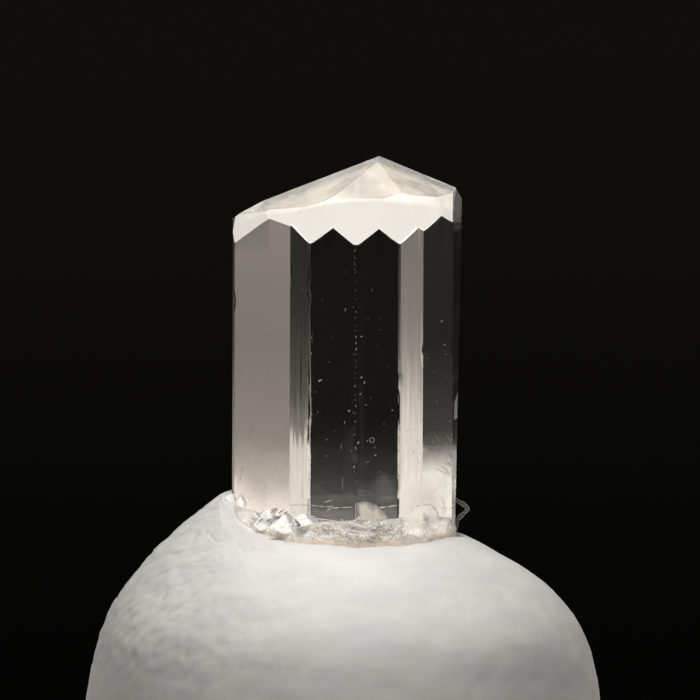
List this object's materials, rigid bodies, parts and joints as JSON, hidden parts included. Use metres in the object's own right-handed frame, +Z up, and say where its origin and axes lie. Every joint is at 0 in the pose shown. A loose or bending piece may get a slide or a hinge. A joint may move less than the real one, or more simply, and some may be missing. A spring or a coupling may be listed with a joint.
{
  "type": "phenakite crystal on mounting putty",
  "caption": "Clear prismatic phenakite crystal with a low toothed termination, standing upright in a ball of white mounting putty with a flat underside.",
  "frame": {"origin": "centre of the putty's flat underside", "axes": "+Z up along the crystal, -Y towards the viewer of the specimen's display side, +X to that viewer's right"},
  "size_m": [0.0132, 0.0132, 0.0184],
  "materials": {
    "phenakite": "clear natural crystal faces",
    "putty": "soft white mounting putty, matt with a faint waxy sheen"
  },
  "bodies": {
    "root": {"phenakite_crystal": "phenakite", "putty_mount": "putty"}
  },
  "joints": []
}
